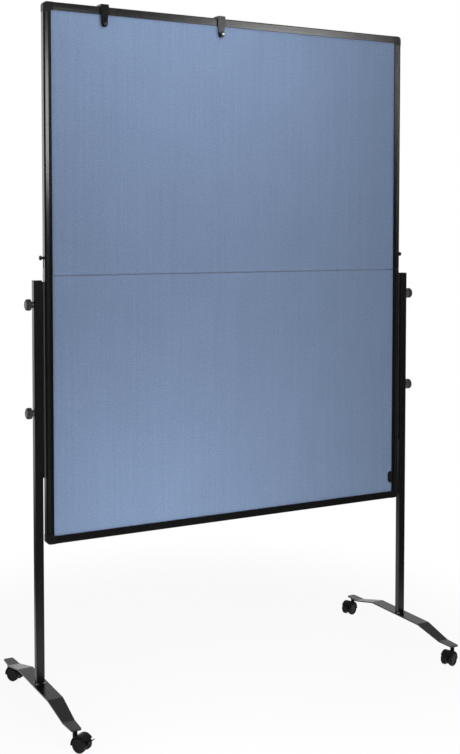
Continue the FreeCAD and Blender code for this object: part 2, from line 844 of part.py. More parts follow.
def clamp_knob(label, side, height):
    """A knob turned about X; side is 1 on the right and -1 on the left."""
    body = doc.addObject("PartDesign::Body", label + "_head")
    profile = new_sketch(body, "XY_Plane")
    head_start = "dim.knob_neck_length"
    head_end = "dim.knob_neck_length + dim.knob_head_length"
    outline(
        profile,
        [
            ("0", "dim.knob_bore_radius"),
            ("0", "dim.knob_foot_radius"),
            (head_start, "dim.knob_neck_radius"),
            (head_start, "dim.knob_radius"),
            (head_end, "dim.knob_radius"),
            (head_end, "0"),
            (f"{head_start} + dim.stud_grip", "0"),
            (f"{head_start} + dim.stud_grip", "dim.stud_radius"),
            (head_start, "dim.stud_radius"),
            (head_start, "dim.knob_bore_radius"),
        ],
    )
    turned = body.newObject("PartDesign::Revolution", label + "_turned")
    turned.Profile = profile
    turned.ReferenceAxis = (profile, ["H_Axis"])
    turned.Angle = 360
    domed = round_edges(body, turned, "dim.knob_dome", ring("dim.knob_radius", x=[head_end]))
    round_edges(body, domed, "dim.knob_back_round", ring("dim.knob_radius", x=[head_start]))
    flute_sketch = new_sketch(body, "YZ_Plane", f"{head_end} - dim.knob_dome")
    disc(flute_sketch, "dim.knob_flute_centre", "0", "dim.knob_flute_radius")
    flute_length = "dim.knob_head_length - dim.knob_dome + dim.overrun"
    cut_round(body, flute_sketch, flute_length, profile, "dim.knob_flutes")
    slot_sketch = new_sketch(body, "XY_Plane", "dim.knob_neck_radius + dim.overrun")
    slot_half = "dim.knob_slot_width / 2"
    outline(slot_sketch, rectangle("dim.knob_ring_length", f"-{slot_half}", head_start, slot_half))
    cut_round(body, slot_sketch, "2 * (dim.knob_neck_radius + dim.overrun)", profile, "dim.knob_slots")
    stud = cylinder(label + "_stud", "dim.stud_radius", "place.stud_length", ("0", "0", "0"), "X")
    stud.setExpression("Placement.Base.x", "place.nut_inner_x - place.knob_seat_x")
    made = group(label, body, stud)
    made.Placement.Rotation = Rotation(Vector(0, 0, 1), 0 if side > 0 else 180)
    move(made, f"{side} * place.knob_seat_x", "place.mid_y", height)
    return node(made, label)


for side_name, side in (("left", -1), ("right", 1)):
    for height_name in ("upper", "lower"):
        clamp_knob(f"{side_name}_{height_name}_knob", side, f"place.{height_name}_knob_z")

# Fold locks: a bolt in the hollow of the upper stile, moved by a small round knob
lock_bolt = box(
    "lock_bolt",
    (
        "place.lock_outer_x - place.lock_bolt_width",
        "place.mid_y - dim.lock_bolt_depth / 2",
        "place.lock_bolt_z",
    ),
    ("place.lock_bolt_width", "dim.lock_bolt_depth", "dim.lock_bolt_length"),
)
knob_body = doc.addObject("PartDesign::Body", "lock_knob")
knob_sketch = new_sketch(knob_body, "XY_Plane", "place.lock_z")
stem_y = "place.mid_y + dim.lock_stem_radius"
head_y = "place.mid_y + dim.lock_head_radius"
neck_x = "place.half_width + dim.lock_gap"
head_far_x = "place.lock_head_x + dim.lock_head_length"
outline(
    knob_sketch,
    [
        ("place.lock_outer_x", "place.mid_y"),
        ("place.lock_outer_x", stem_y),
        (neck_x, stem_y),
        (neck_x, "place.mid_y + dim.lock_neck_radius"),
        ("place.lock_head_x", stem_y),
        ("place.lock_head_x", head_y),
        (head_far_x, head_y),
        (head_far_x, "place.mid_y"),
    ],
)
knob_turn = knob_body.newObject("PartDesign::Revolution", "lock_knob_turned")
knob_turn.Profile = knob_sketch
knob_turn.ReferenceAxis = (knob_sketch, ["Edge8"])
knob_turn.Angle = 360
round_edges(knob_body, knob_turn, "dim.lock_head_round", ring("dim.lock_head_radius", x=[head_far_x]))
right_lock = node(group("right_lock", lock_bolt, knob_body), "right_lock")
node(mirror_x("left_lock", right_lock), "left_lock")


# Hooks: a saddle over the top rail, a waisted tongue in front of the felt and a round peg
def hook(label, place_x):
    """A hook centred at the given X."""
    half = "dim.hook_width / 2"
    saddle = doc.addObject("PartDesign::Body", label + "_saddle")
    sketch = new_sketch(saddle, "YZ_Plane", f"{place_x} - {half}")
    front_y = "place.hook_front_y"
    rear_y = "dim.frame_depth + dim.hook_gap + dim.hook_plate"
    crown_z = "place.top_z + dim.hook_top"
    seat_z = "place.top_z + dim.hook_gap"
    outline(
        sketch,
        [
            (front_y, "place.top_z - dim.hook_front_drop"),
            ("-dim.hook_gap", "place.top_z - dim.hook_front_drop"),
            ("-dim.hook_gap", seat_z),
            ("dim.frame_depth + dim.hook_gap", seat_z),
            ("dim.frame_depth + dim.hook_gap", "place.top_z - dim.hook_rear_drop"),
            (rear_y, "place.top_z - dim.hook_rear_drop"),
            (rear_y, crown_z),
            (front_y, crown_z),
        ],
    )
    bent = pad(saddle, sketch, "dim.hook_width")
    round_edges(saddle, bent, "dim.hook_round", straight(RIGHT, BACK, z=[crown_z]))
    tongue = doc.addObject("PartDesign::Body", label + "_tongue")
    plan = new_sketch(tongue, "XZ_Plane", "-place.tongue_front_y - dim.tongue_thickness")
    top = "place.top_z - dim.hook_front_drop"
    tip = f"{top} - dim.tongue_length"
    waist = f"{top} - dim.tongue_length / 2"
    widths = (
        ("dim.tongue_top_width / 2", f"{top} + dim.overrun"),
        ("dim.tongue_top_width / 2", top),
        ("dim.tongue_waist_width / 2", waist),
        ("dim.tongue_tip_width / 2", tip),
    )
    right_edge = [(f"{place_x} + {width}", z) for width, z in widths]
    left_edge = [(f"{place_x} - {width}", z) for width, z in widths]
    outline(plan, right_edge + left_edge[::-1])
    flat = pad(tongue, plan, "dim.tongue_thickness")
    round_edges(tongue, flat, "dim.tongue_round", straight(BACK, z=[tip]))
    peg = doc.addObject("PartDesign::Body", label + "_peg")
    peg_sketch = new_sketch(peg, "XZ_Plane", "-place.tongue_front_y")
    disc(peg_sketch, place_x, f"{tip} + dim.peg_rise", "dim.peg_radius")
    post = pad(peg, peg_sketch, "dim.peg_length")
    nose = "place.tongue_front_y - dim.peg_length"
    round_edges(peg, post, "dim.peg_round", ring("dim.peg_radius", y=[nose]))
    made = group(label, fuse(label + "_body", saddle, tongue), peg)
    return node(made, label)


hook("left_hook", "place.left_hook_x")
hook("right_hook", "place.right_hook_x")

# Small chamfered tab on the felt beside the lower right stile
tab_body = doc.addObject("PartDesign::Body", "edge_tab")
tab_sketch = new_sketch(tab_body, "XZ_Plane", "-place.felt_front_y + dim.tab_gap")
tab_outer = "place.half_width - dim.frame_face - dim.tab_gap"
tab_inner = f"{tab_outer} - dim.tab_width"
tab_low = "dim.board_bottom_height + dim.tab_rise"
tab_high = f"{tab_low} + dim.tab_height"
outline(
    tab_sketch,
    [
        (tab_outer, tab_low),
        (tab_outer, tab_high),
        (f"{tab_inner} + dim.tab_chamfer", tab_high),
        (tab_inner, f"{tab_high} - dim.tab_chamfer"),
        (tab_inner, f"{tab_low} + dim.tab_chamfer"),
        (f"{tab_inner} + dim.tab_chamfer", tab_low),
    ],
)
pad(tab_body, tab_sketch, "place.felt_front_y - dim.tab_gap + dim.tab_proud")
node(tab_body, "edge_tab")

# Feet: a flat bar bent down towards both ends and narrowed towards its tips
foot_side = doc.addObject("PartDesign::Body", "foot_side")
side_sketch = new_sketch(foot_side, "YZ_Plane", "place.leg_x - dim.foot_mid_width / 2 - dim.overrun")
FOOT_RUN = (
    ("place.foot_half", "place.foot_end_top"),
    ("place.foot_bend_y", "place.foot_end_top"),
    ("dim.foot_flat / 2", "dim.foot_top_height"),
)
rear_run = [(f"place.mid_y + {run}", z) for run, z in FOOT_RUN]
front_run = [(f"place.mid_y - {run}", z) for run, z in FOOT_RUN]
top_line = front_run + rear_run[::-1]
under_line = [(y, f"{z} - dim.foot_thickness") for y, z in top_line]
outline(side_sketch, top_line + under_line[::-1])
band = pad(foot_side, side_sketch, "dim.foot_mid_width + 2 * dim.overrun")
bend_places = [f"place.mid_y {sign} {run}" for run, z in FOOT_RUN[1:] for sign in "+-"]
round_edges(foot_side, band, "dim.foot_bend_radius", straight(RIGHT, y=bend_places))
foot_plan = doc.addObject("PartDesign::Body", "foot_plan")
plan_sketch = new_sketch(foot_plan, "XY_Plane", "place.foot_end_under - dim.overrun")
FOOT_WIDTHS = (
    ("place.foot_half", "dim.foot_tip_width"),
    ("place.foot_bend_y", "dim.foot_bend_width"),
    ("dim.foot_flat / 2", "dim.foot_mid_width"),
)
plan_line = [(width, f"place.mid_y - {run}") for run, width in FOOT_WIDTHS]
plan_line += [(width, f"place.mid_y + {run}") for run, width in FOOT_WIDTHS[::-1]]
right_line = [(f"place.leg_x + {width} / 2", y) for width, y in plan_line]
left_line = [(f"place.leg_x - {width} / 2", y) for width, y in plan_line]
outline(plan_sketch, right_line + left_line[::-1])
plate = pad(foot_plan, plan_sketch, "dim.foot_drop + dim.foot_thickness + 2 * dim.overrun")
tip_places = [f"place.mid_y {sign} place.foot_half" for sign in "+-"]
round_edges(foot_plan, plate, "dim.foot_tip_radius", straight(UP, y=tip_places))
foot_blank = doc.addObject("Part::Common", "foot_blank")
foot_blank.Base = foot_side
foot_blank.Tool = foot_plan

# Castor stems: screwed into the foot from below, with a collar under the bar
STEM_SIDES = {"front": "-", "rear": "+"}
stem_seats = []
stems = []
for end, sign in STEM_SIDES.items():
    spot = ("place.leg_x", f"place.mid_y {sign} place.stem_reach")
    stem_seats.append(
        cylinder(
            f"{end}_stem_seat",
            "dim.stem_radius",
            "dim.stem_bite + dim.overrun",
            spot + ("place.foot_end_under - dim.overrun",),
        )
    )
    post = cylinder(
        f"{end}_stem_post",
        "dim.stem_radius",
        "dim.stem_depth + dim.collar_height + dim.stem_bite",
        spot + ("place.foot_end_under - dim.collar_height - dim.stem_depth",),
    )
    collar = cylinder(
        f"{end}_stem_collar",
        "dim.collar_radius",
        "dim.collar_height",
        spot + ("place.foot_end_under - dim.collar_height",),
    )
    stems.append(fuse(f"{end}_stem", post, collar))
right_foot = node(cut("right_foot", foot_blank, *stem_seats), "right_foot")
node(mirror_x("left_foot", right_foot), "left_foot")
right_stems = node(group("right_castor_stems", *stems), "right_castor_stems")
node(mirror_x("left_castor_stems", right_stems), "left_castor_stems")


# Castors, each built round its swivel axis with the wheels trailing along X
def wheel_body(name, side):
    """A wheel turned about Y: rounded tread, raised rim, shallow dish and a blind bore."""
    body = doc.addObject("PartDesign::Body", name)
    sketch = new_sketch(body, "XY_Plane")
    inner = f"{side} * dim.wheel_inset"
    outer = f"{side} * (dim.wheel_inset + dim.wheel_width)"
    dish = f"{side} * (dim.wheel_inset + dim.wheel_width - dim.wheel_dish)"
    bore_end = f"{side} * (dim.wheel_inset + dim.wheel_bore_depth)"
    rim = "dim.wheel_radius - dim.wheel_edge - dim.wheel_rim"
    outline(
        sketch,
        [
            ("place.wheel_bore", inner),
            ("dim.wheel_radius - dim.wheel_edge", inner),
            ("dim.wheel_radius", f"{side} * (dim.wheel_inset + dim.wheel_edge)"),
            ("dim.wheel_radius", f"{side} * (dim.wheel_inset + dim.wheel_width - dim.wheel_edge)"),
            ("dim.wheel_radius - dim.wheel_edge", outer),
            (rim, outer),
            (f"{rim} - dim.wheel_dish", dish),
            ("0", dish),
            ("0", bore_end),
            ("place.wheel_bore", bore_end),
        ],
    )
    turned = body.newObject("PartDesign::Revolution", name + "_turned")
    turned.Profile = sketch
    turned.ReferenceAxis = (sketch, ["V_Axis"])
    turned.Angle = 360
    return body


def sector(name, radius, width, start_angle, sweep):
    """A part cylinder about the axle, from the start angle up over the wheels."""
    made = doc.addObject("Part::Cylinder", name)
    bind(made, Radius=radius, Height=width, Angle=sweep)
    upright = Rotation(Vector(1, 0, 0), 90)
    made.Placement.Rotation = upright.multiply(Rotation(Vector(0, 0, 1), value(start_angle)))
    return move(made, "dim.castor_trail", f"({width}) / 2", "dim.wheel_radius")


def hood_shell(name):
    """The curved shell over the wheels: a band swept about the axle, with rounded outer edges."""
    body = doc.addObject("PartDesign::Body", name)
    sketch = new_sketch(body, "XY_Plane")
    half = "dim.hood_width / 2"
    outline(sketch, rectangle("place.hood_inner", f"-{half}", "dim.hood_radius", half))
    swept = body.newObject("PartDesign::Revolution", name + "_swept")
    swept.Profile = sketch
    swept.ReferenceAxis = (sketch, ["V_Axis"])
    swept.Reversed = True
    swept.setExpression("Angle", "place.hood_sweep")
    round_edges(body, swept, "dim.hood_round", ring("dim.hood_radius"))
    body.Placement.Rotation = Rotation(Vector(0, 1, 0), -value("dim.hood_rear_angle"))
    return move(body, "dim.castor_trail", "0", "dim.wheel_radius")


def axle_rod(name, radius, length):
    """A round bar on the axle's line, centred between the wheels."""
    return cylinder(name, radius, length, ("dim.castor_trail", f"-({length}) / 2", "dim.wheel_radius"), "Y")


def lever_frame(spin):
    """Where the brake lever turns, in the castor's own frame."""
    angle = value("dim.lever_angle")
    arm = Rotation(Vector(0, 1, 0), -angle).multVec(Vector(value("dim.lever_pivot_radius"), 0, 0))
    pivot = arm + Vector(value("dim.castor_trail"), 0, value("dim.wheel_radius"))
    return Placement(pivot, Rotation(Vector(0, 1, 0), -spin))


def brake_socket(name):
    """The open round socket in the web that the lever's knuckle snaps into."""
    spin = value("dim.lever_tilt")
    width = "dim.web_thickness + 2 * dim.overrun"
    round_part = cylinder(name + "_round", "place.lever_socket", width, ("0", f"-({width}) / 2", "0"), "Y")
    reach = "dim.lever_length"
    low = doc.addObject("PartDesign::Body", name + "_mouth")
    sketch = new_sketch(low, "XZ_Plane", f"-({width}) / 2")
    spread = f"{reach} * tan(dim.lever_mouth / 2)"
    outline(sketch, [("0", "0"), (reach, f"-{spread}"), (reach, spread)])
    pad(low, sketch, width)
    made = fuse(name, round_part, low)
    made.Placement = lever_frame(spin)
    return made


def brake_lever(name):
    """A pedal on a round knuckle that turns in the web's socket."""
    width = "dim.lever_knuckle_width"
    knuckle = cylinder(name + "_knuckle", "dim.lever_knuckle_radius", width, ("0", f"-{width} / 2", "0"), "Y")
    arm = box(
        name + "_arm",
        ("0", f"-{width} / 2", "-dim.lever_thickness / 2"),
        ("dim.lever_length / 2", width, "dim.lever_thickness"),
    )
    pedal_start = "dim.hood_radius - dim.lever_pivot_radius + dim.lever_thickness"
    pedal = box(
        name + "_pedal",
        (pedal_start, "-dim.lever_width / 2", "-dim.lever_thickness / 2"),
        (f"dim.lever_length - ({pedal_start})", "dim.lever_width", "dim.lever_thickness"),
    )
    return fuse(name, knuckle, arm, pedal)


def castor(label, side, end, swivel, braked):
    """A twin-wheel castor under one end of a foot."""
    spot = Vector(side * value("place.leg_x"), value(f"place.mid_y {end} place.stem_reach"), 0)
    frame = Placement(spot, Rotation(Vector(0, 0, 1), value(swivel)))
    shell = hood_shell(label + "_shell")
    web = sector(label + "_web", "dim.web_radius", "dim.web_thickness", "0", "dim.hood_front_angle")
    hub = axle_rod(label + "_hub", "dim.hub_radius", "dim.web_thickness")
    neck = cylinder(
        label + "_neck",
        "dim.neck_radius",
        "place.neck_top - dim.neck_foot_height",
        ("0", "0", "dim.neck_foot_height"),
    )
    stem_bore = cylinder(
        label + "_stem_bore",
        "place.stem_bore",
        "dim.stem_depth + dim.overrun",
        ("0", "0", "place.foot_end_under - dim.collar_height - dim.stem_depth - dim.neck_gap"),
    )
    axle_bore = axle_rod(label + "_axle_bore", "place.wheel_bore", "dim.web_thickness + 2 * dim.overrun")
    cuts = [stem_bore, axle_bore]
    if braked:
        cuts.append(brake_socket(label + "_brake_socket"))
    hood = cut(label + "_hood", fuse(label + "_hood_solid", shell, web, hub, neck), *cuts)
    hood.Placement = frame
    node(hood, label + "_hood")
    axle = group(label + "_axle", axle_rod(label + "_axle_bar", "dim.axle_radius", "place.axle_length"))
    axle.Placement = frame
    node(axle, label + "_axle")
    wheel_spot = Placement(Vector(value("dim.castor_trail"), 0, value("dim.wheel_radius")), Rotation())
    for wheel_name, wheel_side in (("near", -1), ("far", 1)):
        wheel = wheel_body(f"{label}_{wheel_name}_wheel", wheel_side)
        wheel.Placement = frame.multiply(wheel_spot)
        node(wheel, f"{label}_{wheel_name}_wheel")
    if braked:
        lever = brake_lever(label + "_lever")
        lever.Placement = frame.multiply(lever_frame(value("dim.lever_tilt")))
        node(lever, label + "_lever")


for side_name, side, braked in (("left", -1, True), ("right", 1, False)):
    for end_name, end_sign in STEM_SIDES.items():
        castor(f"{side_name}_{end_name}_castor", side, end_sign, f"dim.{side_name}_swivel", braked)

# Check every object before anything is written
doc.recompute()
for made in doc.Objects:
    if "Invalid" in made.State or "Error" in made.State:
        raise RuntimeError(f"{made.Label} failed: {made.State}")
for made in nodes:
    if made.Shape.isNull() or not made.Shape.isValid() or not made.Shape.Solids:
        raise RuntimeError(f"{made.Label} has no valid solid")

os.makedirs("parts", exist_ok=True)
for made in nodes:
    made.Shape.exportStep(f"parts/{made.Label}.step")
print(f"{len(nodes)} nodes, {sum(len(made.Shape.Solids) for made in nodes)} solids")
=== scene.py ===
# %% [markdown]
# A mobile pinboard: two felt panels that fold against each other, in a slim black frame,
# clamped between two legs on castors. The solids come from the packed part and are never
# moved here. This lesson dresses them: it sets the camera and the studio, lays felt over
# the panels, adds the welds and gives each piece its finish.

# %% Load the fixed frame
import json
import math

import bpy
import numpy as np
from mathutils import Matrix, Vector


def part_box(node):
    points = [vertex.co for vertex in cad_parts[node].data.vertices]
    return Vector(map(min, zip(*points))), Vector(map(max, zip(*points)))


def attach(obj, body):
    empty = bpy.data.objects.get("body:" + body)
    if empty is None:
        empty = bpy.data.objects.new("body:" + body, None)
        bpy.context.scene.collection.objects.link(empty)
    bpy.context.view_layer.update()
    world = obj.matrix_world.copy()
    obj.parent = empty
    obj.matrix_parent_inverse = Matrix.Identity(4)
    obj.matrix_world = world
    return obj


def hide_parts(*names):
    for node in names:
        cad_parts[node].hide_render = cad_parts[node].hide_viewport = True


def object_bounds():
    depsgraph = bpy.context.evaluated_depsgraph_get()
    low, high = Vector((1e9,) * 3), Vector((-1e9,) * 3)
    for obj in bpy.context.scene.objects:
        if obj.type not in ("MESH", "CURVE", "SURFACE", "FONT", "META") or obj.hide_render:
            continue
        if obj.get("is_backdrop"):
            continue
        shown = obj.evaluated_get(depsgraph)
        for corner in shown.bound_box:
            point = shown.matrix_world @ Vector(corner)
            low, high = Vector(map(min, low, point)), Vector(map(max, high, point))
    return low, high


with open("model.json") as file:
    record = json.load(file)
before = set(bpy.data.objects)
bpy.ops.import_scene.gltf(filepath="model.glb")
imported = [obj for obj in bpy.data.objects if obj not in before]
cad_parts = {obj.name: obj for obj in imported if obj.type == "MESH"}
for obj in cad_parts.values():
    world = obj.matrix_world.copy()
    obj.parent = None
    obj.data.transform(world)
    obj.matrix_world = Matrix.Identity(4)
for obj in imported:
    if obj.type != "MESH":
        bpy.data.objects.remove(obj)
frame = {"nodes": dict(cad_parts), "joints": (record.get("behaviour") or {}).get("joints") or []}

nodes = frame["nodes"]
joints = {joint["name"]: joint for joint in frame["joints"]}
cad_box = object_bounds()
print("nodes:", len(nodes), "joints:", len(joints))
print("box in metres:", [tuple(round(v, 4) for v in corner) for corner in cad_box])

# %% [markdown]
# The camera stands to the left of the board and a little above the fold, with a lens somewhat
# longer than a normal one. One could aim it by eye, but its place was worked out from the
# frame's edges in the picture, so it is written down as numbers. The picture is a crop, which
# the lens shift repeats: the optical axis doesn't pass through the middle of the image. Blender
# measures lens and shift by the longer side of the image, here its height.

# %% Camera
IMAGE = (460, 754)
FOCAL_PIXELS = 1172.975
AXIS_PIXEL = (264.844, 284.396)
CAMERA_PLACE = (-1.672853, -3.100609, 1.354098)
YAW, PITCH, ROLL = (math.radians(angle) for angle in (29.708, 2.7683, 0.114))
SENSOR_WIDTH, FAR_CLIP = 36, 100

camera = bpy.data.cameras.new("camera")
camera.sensor_width = SENSOR_WIDTH
camera.lens = FOCAL_PIXELS * SENSOR_WIDTH / IMAGE[1]
camera.shift_x = (IMAGE[0] / 2 - AXIS_PIXEL[0]) / IMAGE[1]
camera.shift_y = (AXIS_PIXEL[1] - IMAGE[1] / 2) / IMAGE[1]
camera.clip_end = FAR_CLIP
ahead = np.array((math.sin(YAW), math.cos(YAW), 0))
level = np.array((math.cos(YAW), -math.sin(YAW), 0))
forward = math.cos(PITCH) * ahead - math.sin(PITCH) * np.array((0, 0, 1))
right = math.cos(ROLL) * level + math.sin(ROLL) * np.cross(level, forward)
up = np.cross(right, forward)
pose = np.eye(4)
pose[:3, :3] = np.column_stack((right, up, -forward))
pose[:3, 3] = CAMERA_PLACE
camera_object = bpy.data.objects.new("camera", camera)
camera_object.matrix_world = Matrix(pose.tolist())
bpy.context.scene.collection.objects.link(camera_object)
bpy.context.scene.camera = camera_object
bpy.context.scene.view_settings.view_transform = "Standard"


def pixel(point):
    """Where a point lands: offsets across and down, over the distance, times the focal length."""
    ray = np.asarray(point) - CAMERA_PLACE
    scale = FOCAL_PIXELS / (ray @ forward)
    return AXIS_PIXEL[0] + ray @ right * scale, AXIS_PIXEL[1] - ray @ up * scale


felt_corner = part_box("upper_felt_front")[0]
print("lens in millimetres:", round(camera.lens, 2))
print("upper felt's lower left corner lands at", [round(float(v), 1) for v in pixel(felt_corner)])

# %% [markdown]
# Every finish below is a small sum of noises. Wiring those by hand takes many lines, so one
# class stands for a socket: adding, subtracting or multiplying two of them adds the Math node
# that does it, and one method makes any other node. A plain number on the left works too,
# because each operator also has its reflected form.


# %% Sockets that can be added and multiplied
class Wire:
    """One output socket of a node tree; arithmetic on it adds Math nodes."""

    def __init__(self, tree, socket):
        self.tree = tree
        self.socket = socket

    def into(self, socket):
        """Link this wire to an input."""
        self.tree.links.new(self.socket, socket)

    def node(self, kind, settings=None, values=None, out=0):
        """Any node: its settings first, then a value or a wire for each input named."""
        made = self.tree.nodes.new(kind)
        for key, setting in (settings or {}).items():
            setattr(made, key, setting)
        for key, given in (values or {}).items():
            if isinstance(given, Wire):
                given.into(made.inputs[key])
            else:
                made.inputs[key].default_value = given
        return Wire(self.tree, made.outputs[out])

    def maths(self, operation, first, second=0.0):
        """One Math node on wires or numbers."""
        return self.node("ShaderNodeMath", {"operation": operation}, {0: first, 1: second})

    def __add__(self, other):
        return self.maths("ADD", self, other)

    def __radd__(self, other):
        return self.maths("ADD", other, self)

    def __sub__(self, other):
        return self.maths("SUBTRACT", self, other)

    def __rsub__(self, other):
        return self.maths("SUBTRACT", other, self)

    def __mul__(self, other):
        return self.maths("MULTIPLY", self, other)

    def __rmul__(self, other):
        return self.maths("MULTIPLY", other, self)

    def __abs__(self):
        return self.maths("ABSOLUTE", self)

    def above(self, edge, width):
        """A soft step: 0 below the edge, 1 above it, over the given width."""
        settings = {"interpolation_type": "SMOOTHSTEP"}
        values = {0: self, 1: edge - width / 2, 2: edge + width / 2}
        return self.node("ShaderNodeMapRange", settings, values)

    def part(self, axis):
        """One of the three components of a vector."""
        return self.node("ShaderNodeSeparateXYZ", values={0: self}, out=axis)

    def length(self):
        """How long a vector is."""
        return self.node("ShaderNodeVectorMath", {"operation": "LENGTH"}, {0: self}, out="Value")

    def noise(self, scale, stretch=(1, 1, 1), detail=2.0, turn=(0, 0, 0)):
        """Noise on these coordinates, squeezed along each axis and turned."""
        values = {0: self, "Rotation": turn, "Scale": stretch}
        spread = self.node("ShaderNodeMapping", values=values)
        values = {"Vector": spread, "Scale": scale, "Detail": detail}
        return self.node("ShaderNodeTexNoise", values=values)

    def mix(self, low, high):
        """A colour between two colours, by this wire; 6, 7 and 2 are the node's colour sockets."""
        settings = {"data_type": "RGBA"}
        return self.node("ShaderNodeMix", settings, {"Factor": self, 6: low, 7: high}, out=2)

    def bump(self, strength, distance):
        """The normal of a surface lifted by this wire."""
        values = {"Strength": strength, "Distance": distance, "Height": self}
        return self.node("ShaderNodeBump", values=values)


def finish(name, **constants):
    """A new material, its shader's inputs, with constants set, and its Object coordinates."""
    material = bpy.data.materials.new(name)
    material.use_nodes = True
    tree = material.node_tree
    inputs = tree.nodes["Principled BSDF"].inputs
    for key, constant in constants.items():
        inputs[key.replace("_", " ")].default_value = constant
    return material, inputs, Wire(tree, tree.nodes.new("ShaderNodeTexCoord").outputs["Object"])


def colour(red, green, blue):
    """An opaque colour, as a socket takes it."""
    return (red, green, blue, 1)


def grey(level):
    """A colour whose three shares are equal."""
    return colour(level, level, level)


def dress(material, *names):
    """Give CAD nodes a material."""
    for name in names:
        slots = nodes[name].data.materials
        slots.clear()
        slots.append(material)
        undressed.discard(name)


undressed = set(nodes)
print("reflected operators:", [name for name in vars(Wire) if name.startswith("__r")])

# %% [markdown]
# The studio is a white sweep. Black satin pieces show mostly what they reflect, so the room
# matters more than their colour: it is white behind the board up to head height, dims
# overhead and is dark where the camera stands. That is why the sides of the bars look grey
# and their fronts black. Camera rays see plain white, so the backdrop needs no wall.

# %% Studio world
DARK_SIDE, BACKDROP, OVERHEAD_LOSS = 0.06, 1.45, 1.15
world = bpy.data.worlds.new("studio")
world.use_nodes = True
bpy.context.scene.world = world
tree = world.node_tree
background = tree.nodes["Background"]
direction = Wire(tree, tree.nodes.new("ShaderNodeTexCoord").outputs["Generated"])
camera_ray = Wire(tree, tree.nodes.new("ShaderNodeLightPath").outputs["Is Camera Ray"])
behind = direction.part("Y").above(0.15, 0.7)
high = direction.part("Z").above(0.24, 0.30)
room = DARK_SIDE + behind * (BACKDROP - OVERHEAD_LOSS * high)
(camera_ray + (1 - camera_ray) * room).into(background.inputs["Color"])
print("world nodes:", len(tree.nodes))

# %% [markdown]
# Two soft boxes hang close before the board, one high and one low, so the felt is lightest
# near its top and bottom and dips at the fold. A tall strip at the left grazes the felt and
# draws the thin shadow along the left lip, and a fill at the right evens out the rest. A
# photographer crosses polarising filters to keep such lamps out of glossy black; here one
# switch does it, visible_glossy. The three panels far off do the opposite: they are there to be
# mirrored by the bars, and a narrow fan, like a grid before the lamp, keeps them off the feet.


# %% Lamps
def soft_box(name, place, aim, size, watts, mirrored=False, fan=180):
    """A rectangular lamp at a place, facing a point, its light kept to a fan of so many degrees.

    A mirrored lamp shows in glossy surfaces; the others only light them.
    """
    light = bpy.data.lights.new(name, "AREA")
    light.shape = "RECTANGLE"
    light.size, light.size_y = size
    light.energy = watts
    light.spread = math.radians(fan)
    made = bpy.data.objects.new(name, light)
    back = np.asarray(place, float) - np.asarray(aim, float)
    back /= np.linalg.norm(back)
    across = np.cross((0, 0, 1), back)
    across /= np.linalg.norm(across)
    spin = np.eye(4)
    spin[:3, :3] = np.column_stack((across, np.cross(back, across), back))
    spin[:3, 3] = place
    made.matrix_world = Matrix(spin.tolist())
    made.visible_camera = False
    made.visible_glossy = mirrored
    bpy.context.scene.collection.objects.link(made)
    return made


PANEL = {"mirrored": True, "fan": 40}
lamps = [
    soft_box("high key", (-0.19, -0.78, 2.21), aim=(-0.38, 0, 1.99), size=(1.0, 1.0), watts=8.2),
    soft_box("low key", (-0.27, -0.80, 0.41), aim=(0.34, 0, 0.3), size=(1.0, 0.8), watts=6.5),
    soft_box("left strip", (-2.4, -1.2, 1.25), aim=(-0.3, 0, 1.22), size=(0.4, 2.2), watts=17),
    soft_box("right fill", (2.4, -2.6, 0.5), aim=(0.1, 0, 0.9), size=(1.0, 1.0), watts=19),
    soft_box("near panel", (0.43, -3.6, 1.98), aim=(-0.6, 0, 1.7), size=(0.6, 0.76), watts=0.33,
             **PANEL),
    soft_box("far panel", (2.25, -3.6, 2.38), aim=(0.2, 0, 1.95), size=(0.8, 0.8), watts=1.52,
             **PANEL),
    soft_box("side panel", (3.6, -3.6, 2.0), aim=(0.6, 0, 1.7), size=(0.8, 1.2), watts=0.045,
             **PANEL),
]
print("lamps:", len(lamps), "watts:", round(sum(made.data.energy for made in lamps), 1))

# %% [markdown]
# Meshes of my own are grids: an array of points with one row per step along one parameter
# and one column per step along the other. The faces follow from the counts alone, so the
# same few lines serve a flat sheet, an open strip and a closed ring.


# %% Grid meshes
def grid_faces(rows, columns, wrap=False):
    """Quads between neighbours of a grid; a wrapped grid joins its last lines to its first."""
    last_row, last_column = (rows, columns) if wrap else (rows - 1, columns - 1)
    row, column = np.meshgrid(np.arange(last_row), np.arange(last_column), indexing="ij")
    next_row, next_column = (row + 1) % rows, (column + 1) % columns
    start, next_start = row * columns, next_row * columns
    corners = (start + column, start + next_column, next_start + next_column, next_start + column)
    return np.stack(corners, axis=-1).reshape(-1, 4)


def grid_object(name, points, faces, material):
    """A smooth mesh object from an array of points and an array of quads."""
    mesh = bpy.data.meshes.new(name)
    mesh.from_pydata(np.asarray(points, float).reshape(-1, 3).tolist(), [], faces.tolist())
    mesh.polygons.foreach_set("use_smooth", np.ones(len(mesh.polygons), bool))
    mesh.update()
    mesh.materials.append(material)
    made = bpy.data.objects.new(name, mesh)
    bpy.context.scene.collection.objects.link(made)
    return made


def piece(name, points, faces, body, material):
    """A mesh object that belongs to the part: it rides on a body and has a material slot."""
    made = grid_object(name, points, faces, material)
    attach(made, body)
    return made


face_counts = [len(grid_faces(3, 4, wrap)) for wrap in (False, True)]
print("faces of a 3 by 4 grid, open and wrapped:", face_counts)
